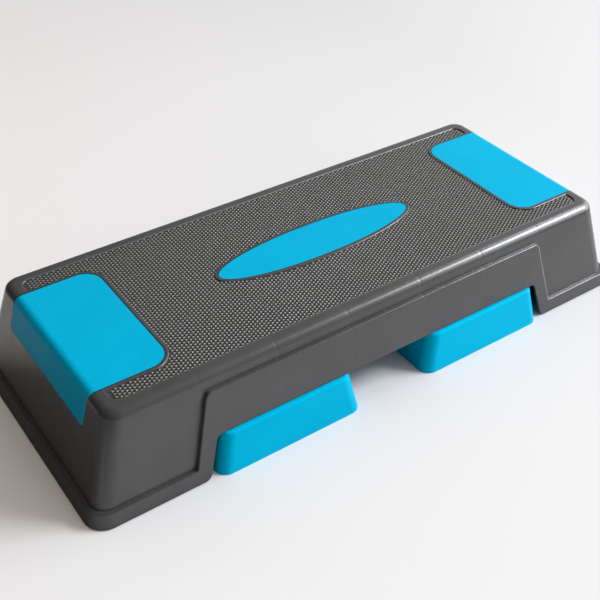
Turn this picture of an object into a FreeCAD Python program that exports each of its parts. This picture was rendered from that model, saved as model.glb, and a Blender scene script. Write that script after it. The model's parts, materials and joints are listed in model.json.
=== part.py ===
import FreeCAD, Part
import Sketcher
import os
import re

# Aerobic step platform with two legs that fold out from under it.
# X runs along the length, Y across it, Z up, with the floor at Z = 0.

doc = FreeCAD.newDocument("StepPlatform")

# Driving dimensions in millimetres, angles in degrees.
sizes = {
    # Shell, outside form
    "deck_height": 110.0,
    "rim_length": 680.0,
    "rim_width": 280.0,
    "rim_height": 16.5,
    "rim_corner": 22.0,
    "rim_edge": 1.2,
    "end_draft": 16.0,
    "side_draft": 10.0,
    "ledge": 4.5,
    "crown_radius": 10.0,
    "shell_wall": 3.0,
    "skirt_drop": 16.0,
    "skirt_border": 11.5,
    "skirt_lean": 20.5,
    "skirt_corner": 7.0,
    "skirt_root": 3.0,
    "notch_head": 1.0,
    "notch_clear": 8.5,
    "notch_lean": 13.5,
    "notch_corner": 6.0,
    "notch_flare": 8.0,
    # Shell, inside
    "rib_thickness": 2.4,
    "rib_depth": 14.0,
    "rib_lead": 3.5,
    "rib_back": 6.0,
    "rib_sink": 0.5,
    "web_thickness": 3.0,
    "web_reach": 14.0,
    # Deck
    "field_end": 49.5,
    "field_side": 39.0,
    "field_corner": 8.0,
    "field_depth": 1.3,
    "field_edge": 1.0,
    # End pads
    "pad_run": 119.5,
    "pad_side": 20.0,
    "pad_drop": 34.5,
    "pad_corner": 20.0,
    "pad_low_corner": 4.0,
    "pad_thickness": 2.0,
    "pad_sink": 0.15,
    "pad_border": 4.0,
    "pad_boss_inset": 24.5,
    "pad_boss_end": 57.0,
    "pad_boss_edge": 23.0,
    # Oval plate
    "oval_half_length": 121.0,
    "oval_half_width": 27.0,
    "oval_thickness": 1.5,
    "oval_border": 4.5,
    "oval_boss_inset": 51.0,
    # Fits of the inlays and their screws
    "inlay_gap": 0.15,
    "seat_gap": 0.1,
    "backing": 2.9,
    "backing_border": 3.0,
    "boss_radius": 4.0,
    "boss_gap": 0.2,
    "boss_seat": 0.3,
    "sleeve_wall": 2.3,
    "sleeve_depth": 13.0,
    "screw_radius": 1.75,
    "screw_gap": 0.05,
    "screw_length": 9.0,
    "screw_tip": 1.5,
    "screw_head_radius": 5.5,
    "screw_head": 2.2,
    "drive_length": 5.0,
    "drive_width": 1.1,
    "drive_depth": 1.5,
    # Rubber feet
    "foot_gap": 1.0,
    "foot_radius": 9.0,
    "stem_radius": 3.0,
    "stem_gap": 0.1,
    "leg_foot": 1.5,
    "leg_foot_edge": 49.0,
    "leg_foot_inset": 30.0,
    # Folding legs
    "leg_height": 45.0,
    "leg_inner": 42.5,
    "leg_wall": 2.2,
    "leg_roof": 2.5,
    "leg_end_draft": 12.0,
    "leg_side_draft": 9.5,
    "leg_corner": 13.0,
    "leg_crown": 4.0,
    "leg_rib": 2.0,
    "leg_rib_inset": 38.0,
    "nest_gap": 0.45,
    "seat_post": 8.0,
    "stop_gap": 0.3,
    "stop_setback": 15.0,
    # Hinges
    "pivot_height": 5.25,
    "hinge_setback": 17.4,
    "arm_clear": 12.0,
    "arm_thickness": 5.0,
    "arm_gap": 0.6,
    "waist_rise": 10.0,
    "arm_root": 18.0,
    "eye_radius": 4.7,
    "slot_gap": 0.8,
    "clevis": 3.5,
    "clevis_reach": 34.0,
    "clevis_foot": 24.0,
    "pin_radius": 2.5,
    "pin_fit": 0.05,
    "pin_head_radius": 4.0,
    "pin_head": 1.5,
    "pin_play": 0.1,
    "pin_tail": 1.2,
    "retainer_radius": 4.4,
    "retainer": 2.0,
    "retainer_fit": 0.02,
    # Overrun of cutting tools
    "overrun": 5.0,
}
sheet = doc.addObject("Spreadsheet::Sheet", "Sizes")
for row, (name, number) in enumerate(sizes.items(), 1):
    sheet.set("A%d" % row, name)
    sheet.set("B%d" % row, str(number))
    sheet.setAlias("B%d" % row, name)
doc.recompute()

# Derived places, as expressions of the sheet's names.
half_length = "rim_length / 2"
half_width = "rim_width / 2"
half_run = "(rim_length / 2 + tan(end_draft) * foot_gap)"
half_spread = "(rim_width / 2 + tan(side_draft) * foot_gap)"
nest_depth = "(2 * pivot_height - foot_gap)"
leg_half_width = f"({half_width} + nest_gap + leg_wall + tan(leg_side_draft) * {nest_depth})"
leg_reach = f"({half_length} + nest_gap + leg_wall + tan(leg_end_draft) * {nest_depth})"
pivot = f"(({leg_reach} + leg_inner) / 2)"
leg_outer = f"({pivot} + hinge_setback)"
leg_middle = f"(({leg_outer} + leg_inner) / 2)"
leg_half_length = f"(({leg_outer} - leg_inner) / 2)"
notch_height = "(leg_height + notch_head)"
notch_half_low = f"({leg_outer} + notch_clear)"
notch_half_top = f"({notch_half_low} - notch_lean)"
skirt_top = "(deck_height - skirt_drop)"
skirt_half_low = f"({notch_half_low} + skirt_border)"
skirt_half_top = f"({skirt_half_low} - skirt_lean)"
rib_inner = "(leg_inner + rib_lead)"
field_half_length = f"({half_length} - field_end)"
field_half_width = f"({half_width} - field_side)"
pad_inner = f"({half_length} - pad_run)"
rib_outer = f"({pad_inner} - rib_back)"
rib_middle = f"(({rib_inner} + {rib_outer}) / 2)"
pad_half_width = f"({field_half_width} - pad_side)"
pad_low = "(deck_height - pad_drop)"
pad_boss_inner = f"({pad_inner} + pad_boss_inset)"
pad_boss_outer = f"({half_length} - pad_boss_end)"
pad_boss_side = f"({pad_half_width} - pad_boss_edge)"
oval_boss = "(oval_half_length - oval_boss_inset)"
sleeve_low = "(deck_height - sleeve_depth)"
boss_low = f"({sleeve_low} + boss_seat)"
arm_side = f"({pad_boss_side} + arm_clear)"
arm_waist = "(leg_height + waist_rise)"
stop_half_width = f"({arm_side} - stop_setback)"
leg_foot_side = f"({leg_half_width} - leg_foot_edge)"
leg_rib_side = f"({leg_half_width} - leg_rib_inset)"
foot_x = f"({half_length} - rim_corner)"
foot_y = f"({half_width} - rim_corner)"
seat_height = "(2 * pivot_height + stop_gap)"
pad_seat = "(pad_thickness + seat_gap)"
deck_inside = "(deck_height - shell_wall)"
fork_half = "(arm_thickness / 2 + arm_gap + clevis)"
signs = (-1, 1)
prefix = {name: "Sizes." for name in sizes}


def full(expression):
    # Puts the sheet's name before each of its aliases.
    return re.sub(r"[a-z_]+", lambda word: prefix.get(word.group(), "") + word.group(), str(expression))


def value(expression):
    return float(sheet.evalExpression(full(expression)))


def bind(target, prop, expression):
    target.setExpression(prop, full(expression))


def place(target, x="0", y="0", z="0"):
    for axis, expression in (("x", x), ("y", y), ("z", z)):
        bind(target, "Placement.Base." + axis, expression)


def plane(body, role):
    return next(feature for feature in body.Origin.OriginFeatures if feature.Role == role)


def edge_names(shape, wanted):
    return ["Edge%d" % number for number, edge in enumerate(shape.Edges, 1) if wanted(edge)]


def rounded(body, name, edges, radius):
    # Fillet on named edges of the body's last feature.
    fillet = body.newObject("PartDesign::Fillet", name)
    fillet.Base = (body.Group[-2], edges)
    bind(fillet, "Radius", radius)
    doc.recompute()
    return fillet


def drafted_body(name, length, width, low, high, drafts, corner, crown, middle="0"):
    # Block whose four walls lean inwards, with round corners and a round upper edge.
    # Length and width are half sizes of the walls carried on to Z = 0.
    body = doc.addObject("PartDesign::Body", name)
    wedge = body.newObject("PartDesign::AdditiveWedge", name + "Block")
    wedge.AttachmentSupport = (plane(body, "XZ_Plane"), [""])
    wedge.MapMode = "FlatFace"
    end, side = drafts
    for prefix, level in (("", low), ("2", high)):
        reach = f"({length} - tan({end}) * ({level}))"
        spread = f"({width} - tan({side}) * ({level}))"
        bind(wedge, f"X{prefix}min", f"{middle} - {reach}")
        bind(wedge, f"X{prefix}max", f"{middle} + {reach}")
        bind(wedge, f"Z{prefix}min", f"-{spread}")
        bind(wedge, f"Z{prefix}max", spread)
    bind(wedge, "Ymin", low)
    bind(wedge, "Ymax", high)
    doc.recompute()
    slanted = edge_names(wedge.Shape, lambda edge: edge.BoundBox.ZLength > 1)
    corners = rounded(body, name + "Corners", slanted, corner)
    top = value(high)
    upper = edge_names(corners.Shape, lambda edge: edge.BoundBox.ZMin > top - 0.001)
    rounded(body, name + "Crown", upper, crown)
    return body


def slab(name, role, outline, thickness, offset="0", symmetric=True, rounds=()):
    # Pad of a straight-sided outline on an origin plane; rounds lists corner numbers and radii.
    body = doc.addObject("PartDesign::Body", name)
    sketch = body.newObject("Sketcher::SketchObject", name + "Outline")
    sketch.AttachmentSupport = (plane(body, role), [""])
    sketch.MapMode = "FlatFace"
    bind(sketch, "AttachmentOffset.Base.z", offset)
    draw(sketch, outline)
    pad = body.newObject("PartDesign::Pad", name + "Pad")
    pad.Profile = sketch
    pad.SideType = "Symmetric" if symmetric else "One side"
    bind(pad, "Length", thickness)
    doc.recompute()
    across = {"XY_Plane": (0, 1), "XZ_Plane": (0, 2)}[role]
    for order, (numbers, radius) in enumerate(rounds):
        spots = [[value(part) for part in outline[number]] for number in numbers]
        names = edge_names(body.Tip.Shape, lambda edge: stands_at(edge, across, spots))
        rounded(body, f"{name}Round{order}", names, radius)
    return body


def draw(sketch, outline):
    # Closed run of straight edges, each corner held by its own expressions.
    spots = [FreeCAD.Vector(value(x), value(y), 0) for x, y in outline]
    count = len(spots)
    for number in range(count):
        sketch.addGeometry(Part.LineSegment(spots[number], spots[(number + 1) % count]), False)
    for number in range(count):
        sketch.addConstraint(Sketcher.Constraint("Coincident", number, 2, (number + 1) % count, 1))
    for number, corner in enumerate(outline):
        for kind, axis, expression in (("DistanceX", -2, corner[0]), ("DistanceY", -1, corner[1])):
            if expression == "0":
                sketch.addConstraint(Sketcher.Constraint("PointOnObject", number, 1, axis))
            else:
                held = Sketcher.Constraint(kind, -1, 1, number, 1, value(expression))
                bind(sketch, "Constraints[%d]" % sketch.addConstraint(held), expression)


def stands_at(edge, across, spots):
    # True where both ends of a straight edge lie over one of the outline's corners.
    ends = [[vertex.Point[axis] for axis in across] for vertex in edge.Vertexes]
    return any(all(abs(end[0] - spot[0]) + abs(end[1] - spot[1]) < 0.001 for end in ends) for spot in spots)


def turned(name, profile):
    # Solid of revolution about Z from a half profile of radius and height.
    body = doc.addObject("PartDesign::Body", name)
    sketch = body.newObject("Sketcher::SketchObject", name + "Profile")
    sketch.AttachmentSupport = (plane(body, "XZ_Plane"), [""])
    sketch.MapMode = "FlatFace"
    draw(sketch, profile)
    turn = body.newObject("PartDesign::Revolution", name + "Turn")
    turn.Profile = sketch
    turn.ReferenceAxis = (plane(body, "Z_Axis"), [""])
    turn.Angle = 360
    return body


def block(name, low, high):
    # Box between two corners.
    box = doc.addObject("Part::Box", name)
    for prop, start, stop in zip(("Length", "Width", "Height"), low, high):
        bind(box, prop, f"({stop}) - ({start})")
    place(box, *low)
    return box


def span(sign, near, far):
    # Low and high end of a stretch that lies on one side of the middle.
    return (near, far) if sign > 0 else (f"-({far})", f"-({near})")


def rod(name, radius, length, x="0", y="0", z="0", turn=None):
    # Cylinder standing on a point, along Z unless turned.
    cylinder = doc.addObject("Part::Cylinder", name)
    bind(cylinder, "Radius", radius)
    bind(cylinder, "Height", length)
    if turn:
        cylinder.Placement.Rotation = turn
    place(cylinder, x, y, z)
    return cylinder


def oval(name, grow, low, high):
    # Elliptical block centred on the deck.
    ring = doc.addObject("Part::Ellipse", name + "Ring")
    bind(ring, "MajorRadius", f"oval_half_length + {grow}")
    bind(ring, "MinorRadius", f"oval_half_width + {grow}")
    place(ring, z=low)
    solid = doc.addObject("Part::Extrusion", name)
    solid.Base = ring
    solid.DirMode = "Custom"
    solid.Dir = FreeCAD.Vector(0, 0, 1)
    solid.Solid = True
    bind(solid, "LengthFwd", f"({high}) - ({low})")
    return solid


def cut(name, base, tool):
    result = doc.addObject("Part::Cut", name)
    result.Base = base
    result.Tool = tool
    return result


def fuse(name, parts):
    result = doc.addObject("Part::MultiFuse", name)
    result.Shapes = parts
    return result


def common(name, parts):
    result = doc.addObject("Part::MultiCommon", name)
    result.Shapes = parts
    return result


def mirrored(name, source):
    # The same piece on the other end, mirrored about the middle of the length.
    result = doc.addObject("Part::Mirroring", name)
    result.Source = source
    result.Normal = FreeCAD.Vector(1, 0, 0)
    return result


def skin(name, inset, low="foot_gap"):
    # Outer form of the shell's main walls and deck, moved inwards.
    return drafted_body(name, f"{half_run} - ledge - {inset}", f"{half_spread} - ledge - {inset}",
                        low, f"deck_height - {inset}", ("end_draft", "side_draft"),
                        f"rim_corner - ledge - {inset}", f"crown_radius - {inset}")


def rim(name, inset, low):
    # Proud band along the foot of the walls, rising to a panel round each side notch.
    form = drafted_body(name + "Form", f"{half_run} - {inset}", f"{half_spread} - {inset}",
                        low, "deck_height", ("end_draft", "side_draft"),
                        f"rim_corner - {inset}", f"crown_radius - {inset}")
    top = f"rim_height - {inset}"
    far = f"{half_length} + overrun"
    outline = [(f"-({far})", low), (far, low), (far, top)]
    panel_top = f"{skirt_top} - {inset}"
    outline += [(f"{skirt_half_low} - {inset}", top), (f"{skirt_half_top} - {inset}", panel_top)]
    outline += [(f"{inset} - {skirt_half_top}", panel_top), (f"{inset} - {skirt_half_low}", top)]
    outline += [(f"-({far})", top)]
    band = slab(name + "Band", "XZ_Plane", outline, "rim_width + 2 * overrun",
                rounds=(((3, 6), "skirt_root"), ((4, 5), "skirt_corner")))
    return common(name, [form, band])


def is_wall(face, spot):
    # True for a face of the rim's leaning outer wall, seen at a point of it.
    normal = face.normalAt(*face.Surface.parameter(spot))
    outside = abs(spot.x) > value(f"({skirt_half_low} + {half_length}) / 2")
    return 0.1 < normal.z < 0.5 and (abs(normal.y) > 0.5 or outside)


def is_ledge(edge, faces):
    # True for the outer edge of the rim's ledge, all the way along it.
    spot = edge.valueAt((edge.FirstParameter + edge.LastParameter) / 2)
    walls_here = [is_wall(face, spot) for face in faces]
    return sorted(walls_here) == [False, True] and spot.z > value("foot_gap") + 0.001


def is_field_edge(edge, faces):
    # True for the deck's edge round the sunk field.
    level = value("deck_height")
    floor = value("deck_height - field_depth")
    sunk = any(abs(face.BoundBox.ZMin - floor) < 0.001 for face in faces)
    return edge.BoundBox.ZMin > level - 0.001 and sunk


def softened(name, source, wanted, radius):
    # Small round on the edges that a test picks out.
    doc.recompute()
    size = value(radius)
    shape = source.Shape
    numbers = [number for number, edge in enumerate(shape.Edges, 1)
               if wanted(edge, shape.ancestorsOfType(edge, Part.Face))]
    soft = doc.addObject("Part::Fillet", name)
    soft.Base = source
    soft.Edges = [(number, size, size) for number in numbers]
    return soft


def pad_zone(name, grow):
    # Block that bounds an end pad: round inner corners on the deck, small ones on the end wall.
    side = f"({pad_half_width} + {grow})"
    inner = f"{pad_inner} - {grow}"
    outer = f"{half_length} + overrun"
    low = f"{pad_low} - {grow}"
    outline = [(inner, f"-{side}"), (outer, f"-{side}"), (outer, side), (inner, side)]
    zone = slab(name, "XY_Plane", outline, f"deck_height + overrun - ({low})", offset=low, symmetric=False,
                rounds=(((0, 3), f"pad_corner + {grow}"),))
    base = value(low)
    reach = value(side)
    under = edge_names(zone.Tip.Shape, lambda edge: edge.BoundBox.ZMax < base + 0.001
                       and abs(abs(edge.BoundBox.YMin) - reach) < 0.001 and edge.BoundBox.YLength < 0.001)
    rounded(zone, name + "Low", under, f"pad_low_corner + {grow}")
    return zone


# Screw places under the inlays: the pad's four bosses and the oval's two.
pad_bosses = [(x, f"{sign} * {pad_boss_side}") for x in (pad_boss_inner, pad_boss_outer) for sign in signs]
oval_bosses = [(f"{sign} * {oval_boss}", "0") for sign in signs]
left_bosses = [(f"-1 * {x}", y) for x, y in pad_bosses]
along_y = FreeCAD.Rotation(FreeCAD.Vector(1, 0, 0), -90)
against_y = FreeCAD.Rotation(FreeCAD.Vector(1, 0, 0), 90)

# End pads, which fold over the crown and down the end wall.
outer_skin = skin("OuterSkin", "0")
pad_body = cut("PadLayer", pad_zone("PadZone", "0"), skin("PadUnder", "pad_thickness"))
pad_plate = common("PadPlate", [pad_body, skin("PadFace", "pad_sink")])
pad_boss_length = f"deck_height - pad_thickness / 2 - {boss_low}"
pad_posts = [rod(f"PadBoss{n}", "boss_radius", pad_boss_length, x, y, boss_low)
             for n, (x, y) in enumerate(pad_bosses)]
pad_pilots = [rod(f"PadPilot{n}", "screw_radius + screw_gap", "screw_length", x, y, sleeve_low)
              for n, (x, y) in enumerate(pad_bosses)]
bossed_pad = fuse("PadWithBosses", [pad_plate] + pad_posts)
right_pad = cut("right_end_pad", bossed_pad, fuse("PadPilots", pad_pilots))
left_pad = mirrored("left_end_pad", right_pad)

# Bare oval plate in the middle of the deck.
oval_floor = "deck_height - oval_thickness - pad_sink"
plate = oval("OvalPlate", "0", oval_floor, "deck_height - pad_sink")
oval_boss_length = f"{oval_floor} + oval_thickness / 2 - {boss_low}"
oval_posts = [rod(f"OvalBoss{n}", "boss_radius", oval_boss_length, x, y, boss_low)
              for n, (x, y) in enumerate(oval_bosses)]
oval_pilots = [rod(f"OvalPilot{n}", "screw_radius + screw_gap", "screw_length", x, y, sleeve_low)
               for n, (x, y) in enumerate(oval_bosses)]
bossed_oval = fuse("OvalWithBosses", [plate] + oval_posts)
badge = cut("centre_badge", bossed_oval, fuse("OvalPilots", oval_pilots))

# Shell walls: main walls and the proud rim, each of even thickness.
rim_outside = softened("RimSoft", rim("RimOutside", "0", "foot_gap"), is_ledge, "rim_edge")
walls = cut("ShellWalls", fuse("ShellOutside", [outer_skin, rim_outside]),
            fuse("ShellCavity", [skin("InnerSkin", "shell_wall", "-overrun"),
                                 rim("RimInside", "shell_wall", "-overrun")]))

# Sunk seats of the inlays and the deeper layer of plastic behind them.
backed = common("PadBacked", [pad_zone("BackZone", "backing_border"), skin("BackSkin", "rib_sink")])
behind = cut("PadBehind", backed, skin("BackInside", f"({pad_seat} + backing)"))
recess = cut("PadRecess", pad_zone("RecessZone", "inlay_gap"), skin("PadSeat", pad_seat))
oval_seat = f"{oval_floor} - seat_gap"
oval_back = oval("OvalBack", "backing_border", f"{oval_seat} - backing", f"{deck_inside} + rib_sink")
oval_recess = oval("OvalRecess", "inlay_gap", oval_seat, "deck_height + overrun")
around = ((-1, -1), (1, -1), (1, 1), (-1, 1))
field_outline = [(f"{a} * {field_half_length}", f"{b} * {field_half_width}") for a, b in around]
field_block = slab("FieldBlock", "XY_Plane", field_outline, "field_depth + overrun",
                   offset="deck_height - field_depth", symmetric=False,
                   rounds=(((0, 1, 2, 3), "field_corner"),))
border = pad_zone("PadBorder", "pad_border")
oval_edge = oval("OvalBorder", "oval_border", "deck_height - overrun", "deck_height + 2 * overrun")
borders = fuse("FieldBorders", [border, mirrored("PadBorderLeft", border), oval_edge])
field = cut("Field", field_block, borders)

# Ribs under the deck, deepened to stops over the folded legs, and corner webs for the feet.
rib_low = f"{deck_inside} - rib_depth"
rib_high = f"{deck_inside} + rib_sink"
ribs = []
cross_places = ["0"]
for where in (rib_inner, rib_middle, rib_outer):
    cross_places += [f"{sign} * {where}" for sign in signs]
for number, where in enumerate(cross_places):
    ribs.append(block(f"CrossRib{number}", (f"{where} - rib_thickness / 2", f"-{half_width}", rib_low),
                      (f"{where} + rib_thickness / 2", half_width, rib_high)))
for sign in signs:
    long_place = f"{sign} * {arm_side}"
    ribs.append(block(f"LongRib{sign + 1}",
                      (f"-{half_length}", f"{long_place} - rib_thickness / 2", rib_low),
                      (half_length, f"{long_place} + rib_thickness / 2", rib_high)))
    stop_place = f"{sign} * {rib_middle}"
    ribs.append(block(f"StopRib{sign + 1}",
                      (f"{stop_place} - rib_thickness / 2", f"-{stop_half_width}", "leg_height + stop_gap"),
                      (f"{stop_place} + rib_thickness / 2", stop_half_width, rib_high)))
rib_grid = common("RibGrid", [fuse("RibBars", ribs), skin("RibLimit", "(shell_wall - rib_sink)")])
corners = [(a, b) for a in signs for b in signs]
web_bars = []
for a, b in corners:
    low_x, high_x = span(a, f"{foot_x} - web_reach", half_length)
    low_y, high_y = span(b, f"{foot_y} - web_reach", half_width)
    web_bars.append(block(f"Web{a + 1}{b + 1}", (low_x, low_y, "foot_gap"),
                          (high_x, high_y, "foot_gap + web_thickness")))
web_limit = drafted_body("WebLimit", f"{half_run} - rib_sink", f"{half_spread} - rib_sink",
                         "foot_gap", "deck_height", ("end_draft", "side_draft"),
                         "rim_corner - rib_sink", "crown_radius - rib_sink")
webs = common("CornerWebs", [fuse("WebBars", web_bars), web_limit])

# Sleeves that take the inlays' screws.
sleeve_radius = "boss_radius + boss_gap + sleeve_wall"
inlay_bosses = pad_bosses + left_bosses + oval_bosses
sleeve_bore = f"deck_height - {sleeve_low} + 2 * overrun"
sleeves = [rod(f"Sleeve{n}", sleeve_radius, f"{deck_inside} - {sleeve_low}", x, y, sleeve_low)
           for n, (x, y) in enumerate(inlay_bosses)]
sleeve_bores = [rod(f"SleeveBore{n}", "boss_radius + boss_gap", sleeve_bore, x, y, f"{sleeve_low} - overrun")
                for n, (x, y) in enumerate(inlay_bosses)]

# Hinge arms that reach down to the legs' pivots, two for each leg.
arms = []
arm_bores = []
for a, b in corners:
    tag = f"{a + 1}{b + 1}"
    centre = f"{a} * {pivot}"
    outline = [(f"{centre} - eye_radius", "pivot_height"), (f"{centre} + eye_radius", "pivot_height"),
               (f"{centre} + eye_radius", arm_waist), (f"{centre} + arm_root", rib_high),
               (f"{centre} - arm_root", rib_high), (f"{centre} - eye_radius", arm_waist)]
    arm = slab("Arm" + tag, "XZ_Plane", outline, "arm_thickness")
    place(arm, y=f"{b} * {arm_side}")
    near = f"{b} * {arm_side} - arm_thickness / 2"
    eye = rod("Eye" + tag, "eye_radius", "arm_thickness", centre, near, "pivot_height", along_y)
    arms += [arm, eye]
    arm_bores.append(rod("ArmBore" + tag, "pin_radius + pin_fit", "arm_thickness + 2 * overrun", centre,
                         f"{near} - overrun", "pivot_height", along_y))

# Side notches for the folded legs, cut right through.
notch_low = f"{notch_half_low} - notch_lean * foot_gap / {notch_height}"
notch_wide = f"{notch_half_low} + 2 * notch_flare"
notch_outline = [(f"-({notch_wide})", "-overrun"), (notch_wide, "-overrun"), (notch_wide, "foot_gap")]
notch_outline += [(notch_low, "foot_gap"), (notch_half_top, notch_height)]
notch_outline += [(f"-{notch_half_top}", notch_height), (f"-({notch_low})", "foot_gap")]
notch_outline += [(f"-({notch_wide})", "foot_gap")]
notch = slab("Notch", "XZ_Plane", notch_outline, "rim_width + 2 * overrun",
             rounds=(((3, 6), "notch_flare"), ((4, 5), "notch_corner")))

# Holes for the stems of the four rubber feet.
stem_bores = [rod(f"StemBore{a + 1}{b + 1}", "stem_radius + stem_gap", "web_thickness + 2 * overrun",
                  f"{a} * {foot_x}", f"{b} * {foot_y}", "foot_gap - overrun") for a, b in corners]

# Walls are notched before the inner plates go in, so that the arms stay whole.
notched = cut("NotchedWalls", walls, notch)
backings = [behind, mirrored("PadBehindLeft", behind), oval_back]
solid_shell = fuse("SolidShell", [notched] + backings + [rib_grid, webs] + sleeves + arms)
openings = fuse("ShellOpenings", [recess, mirrored("PadRecessLeft", recess), oval_recess, field]
                + sleeve_bores + arm_bores + stem_bores)
shell = softened("platform_shell", cut("ShellCut", solid_shell, openings), is_field_edge, "field_edge")

# Folding leg: an open tray that stands rim down when folded in.
leg_drafts = ("leg_end_draft", "leg_side_draft")
leg_outside = drafted_body("LegOutside", leg_half_length, leg_half_width, "0", "leg_height", leg_drafts,
                           "leg_corner", "leg_crown", leg_middle)
leg_hollow = drafted_body("LegHollow", f"({leg_half_length} - leg_wall)", f"({leg_half_width} - leg_wall)",
                          "-overrun", "leg_height - leg_roof", leg_drafts,
                          "leg_corner - leg_wall", "leg_crown - leg_wall", leg_middle)
leg_limit = drafted_body("LegLimit", f"({leg_half_length} - leg_wall / 2)",
                         f"({leg_half_width} - leg_wall / 2)", "0", "leg_height - leg_roof / 2", leg_drafts,
                         "leg_corner - leg_wall / 2", "leg_crown - leg_wall / 2", leg_middle)
leg_bars = []
for sign in (-1, 0, 1):
    rib_place = f"{sign} * {leg_rib_side}"
    leg_bars.append(block(f"LegRib{sign + 1}", ("leg_inner", f"{rib_place} - leg_rib / 2", seat_height),
                          (leg_outer, f"{rib_place} + leg_rib / 2", "leg_height")))
leg_bars.append(block("LegCross", (f"{leg_middle} - leg_rib / 2", f"-{leg_half_width}", seat_height),
                      (f"{leg_middle} + leg_rib / 2", leg_half_width, "leg_height")))
seat_x = f"(2 * {pivot} - {foot_x})"
for sign in signs:
    leg_bars.append(rod(f"SeatPost{sign + 1}", "seat_post", f"leg_height - {seat_height}", seat_x,
                        f"{sign} * {foot_y}", seat_height))

# Fork plates on both sides of each arm, with a round boss at the pivot.
fork_outline = [(leg_outer, "leg_height"), (leg_outer, seat_height), (f"{pivot} + eye_radius", seat_height),
                (f"{pivot} + eye_radius", "pivot_height"), (f"{pivot} - eye_radius", "pivot_height"),
                (f"{pivot} - eye_radius", seat_height), (f"{pivot} - clevis_foot", seat_height),
                (f"{pivot} - clevis_reach", "leg_height")]
slots = []
leg_bores = []
for b in signs:
    for c in signs:
        tag = f"{b + 1}{c + 1}"
        middle = f"{b} * {arm_side} + {c} * (arm_thickness / 2 + arm_gap + clevis / 2)"
        fork = slab("Fork" + tag, "XZ_Plane", fork_outline, "clevis")
        place(fork, y=middle)
        leg_bars += [fork, rod("ForkBoss" + tag, "eye_radius", "clevis", pivot, f"{middle} - clevis / 2",
                               "pivot_height", along_y)]
    slots.append(block(f"Slot{b + 1}", (f"{pivot} - eye_radius - slot_gap",
                                        f"{b} * {arm_side} - arm_thickness / 2 - arm_gap", "-overrun"),
                       (f"{leg_outer} + overrun", f"{b} * {arm_side} + arm_thickness / 2 + arm_gap",
                        "leg_height + overrun")))
    leg_bores.append(rod(f"ForkBore{b + 1}", "pin_radius + pin_fit", f"2 * {fork_half} + 2 * overrun", pivot,
                         f"{b} * {arm_side} - {fork_half} - overrun", "pivot_height", along_y))

# Rubber feet of the leg stand on its closed face, which is the sole when folded out.
sole_feet = [(f"{leg_middle} + {a} * ({leg_half_length} - leg_foot_inset)", f"{b} * {leg_foot_side}")
             for a, b in corners]
sole_bores = [rod(f"SoleBore{n}", "stem_radius + stem_gap", "leg_roof + 2 * overrun", x, y,
                  "leg_height - leg_roof - overrun") for n, (x, y) in enumerate(sole_feet)]
tray = cut("LegTray", leg_outside, leg_hollow)
frame = common("LegFrame", [fuse("LegBars", leg_bars), leg_limit])
leg_cuts = fuse("LegCuts", slots + leg_bores + sole_bores)
right_leg = cut("right_leg", fuse("LegWithFrame", [tray, frame]), leg_cuts)
left_leg = mirrored("left_leg", right_leg)
nodes = [shell, left_pad, right_pad, badge, left_leg, right_leg]

# Hinge pins, headed on the outside and held by push-on retainers inside.
pin_length = f"2 * {fork_half} + 2 * pin_play + retainer + pin_tail"
pin_profile = [("0", "-pin_head"), ("pin_head_radius", "-pin_head"), ("pin_head_radius", "0"),
               ("pin_radius", "0"), ("pin_radius", pin_length), ("0", pin_length)]
ring_low = f"2 * {fork_half} + 2 * pin_play"
ring_high = f"{ring_low} + retainer"
ring_profile = [("pin_radius + retainer_fit", ring_low), ("retainer_radius", ring_low),
                ("retainer_radius", ring_high), ("pin_radius + retainer_fit", ring_high)]
for a, end in zip(signs, ("left", "right")):
    for b, side in zip(signs, ("front", "rear")):
        for kind, profile in (("hinge_pin", pin_profile), ("pin_retainer", ring_profile)):
            piece = turned(f"{end}_{side}_{kind}", profile)
            piece.Placement.Rotation = along_y if b < 0 else against_y
            place(piece, f"{a} * {pivot}", f"{b} * ({arm_side} + {fork_half} + pin_play)", "pivot_height")
            nodes.append(piece)

# Screws that hold the inlays from below, with a cross in each head.
head_low = f"{sleeve_low} - screw_head"
screw_profile = [("0", "-screw_head"), ("screw_head_radius", "-screw_head"), ("screw_head_radius", "0"),
                 ("screw_radius", "0"), ("screw_radius", "screw_length - screw_tip"),
                 ("0", "screw_length - pin_play")]
screw_groups = {"left_pad_screws": left_bosses, "right_pad_screws": pad_bosses, "badge_screws": oval_bosses}
for name, spots in screw_groups.items():
    screws = []
    for number, (x, y) in enumerate(spots):
        tag = f"{name}_{number}"
        screw = turned(tag + "_blank", screw_profile)
        place(screw, x, y, sleeve_low)
        bars = [block(f"{tag}_{long}", (f"{x} - {long} / 2", f"{y} - {wide} / 2", f"{head_low} - overrun"),
                      (f"{x} + {long} / 2", f"{y} + {wide} / 2", f"{head_low} + drive_depth"))
                for long, wide in (("drive_length", "drive_width"), ("drive_width", "drive_length"))]
        screws.append(cut(tag, screw, fuse(tag + "_cross", bars)))
    group = doc.addObject("Part::Compound", name)
    group.Links = screws
    nodes.append(group)

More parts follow.
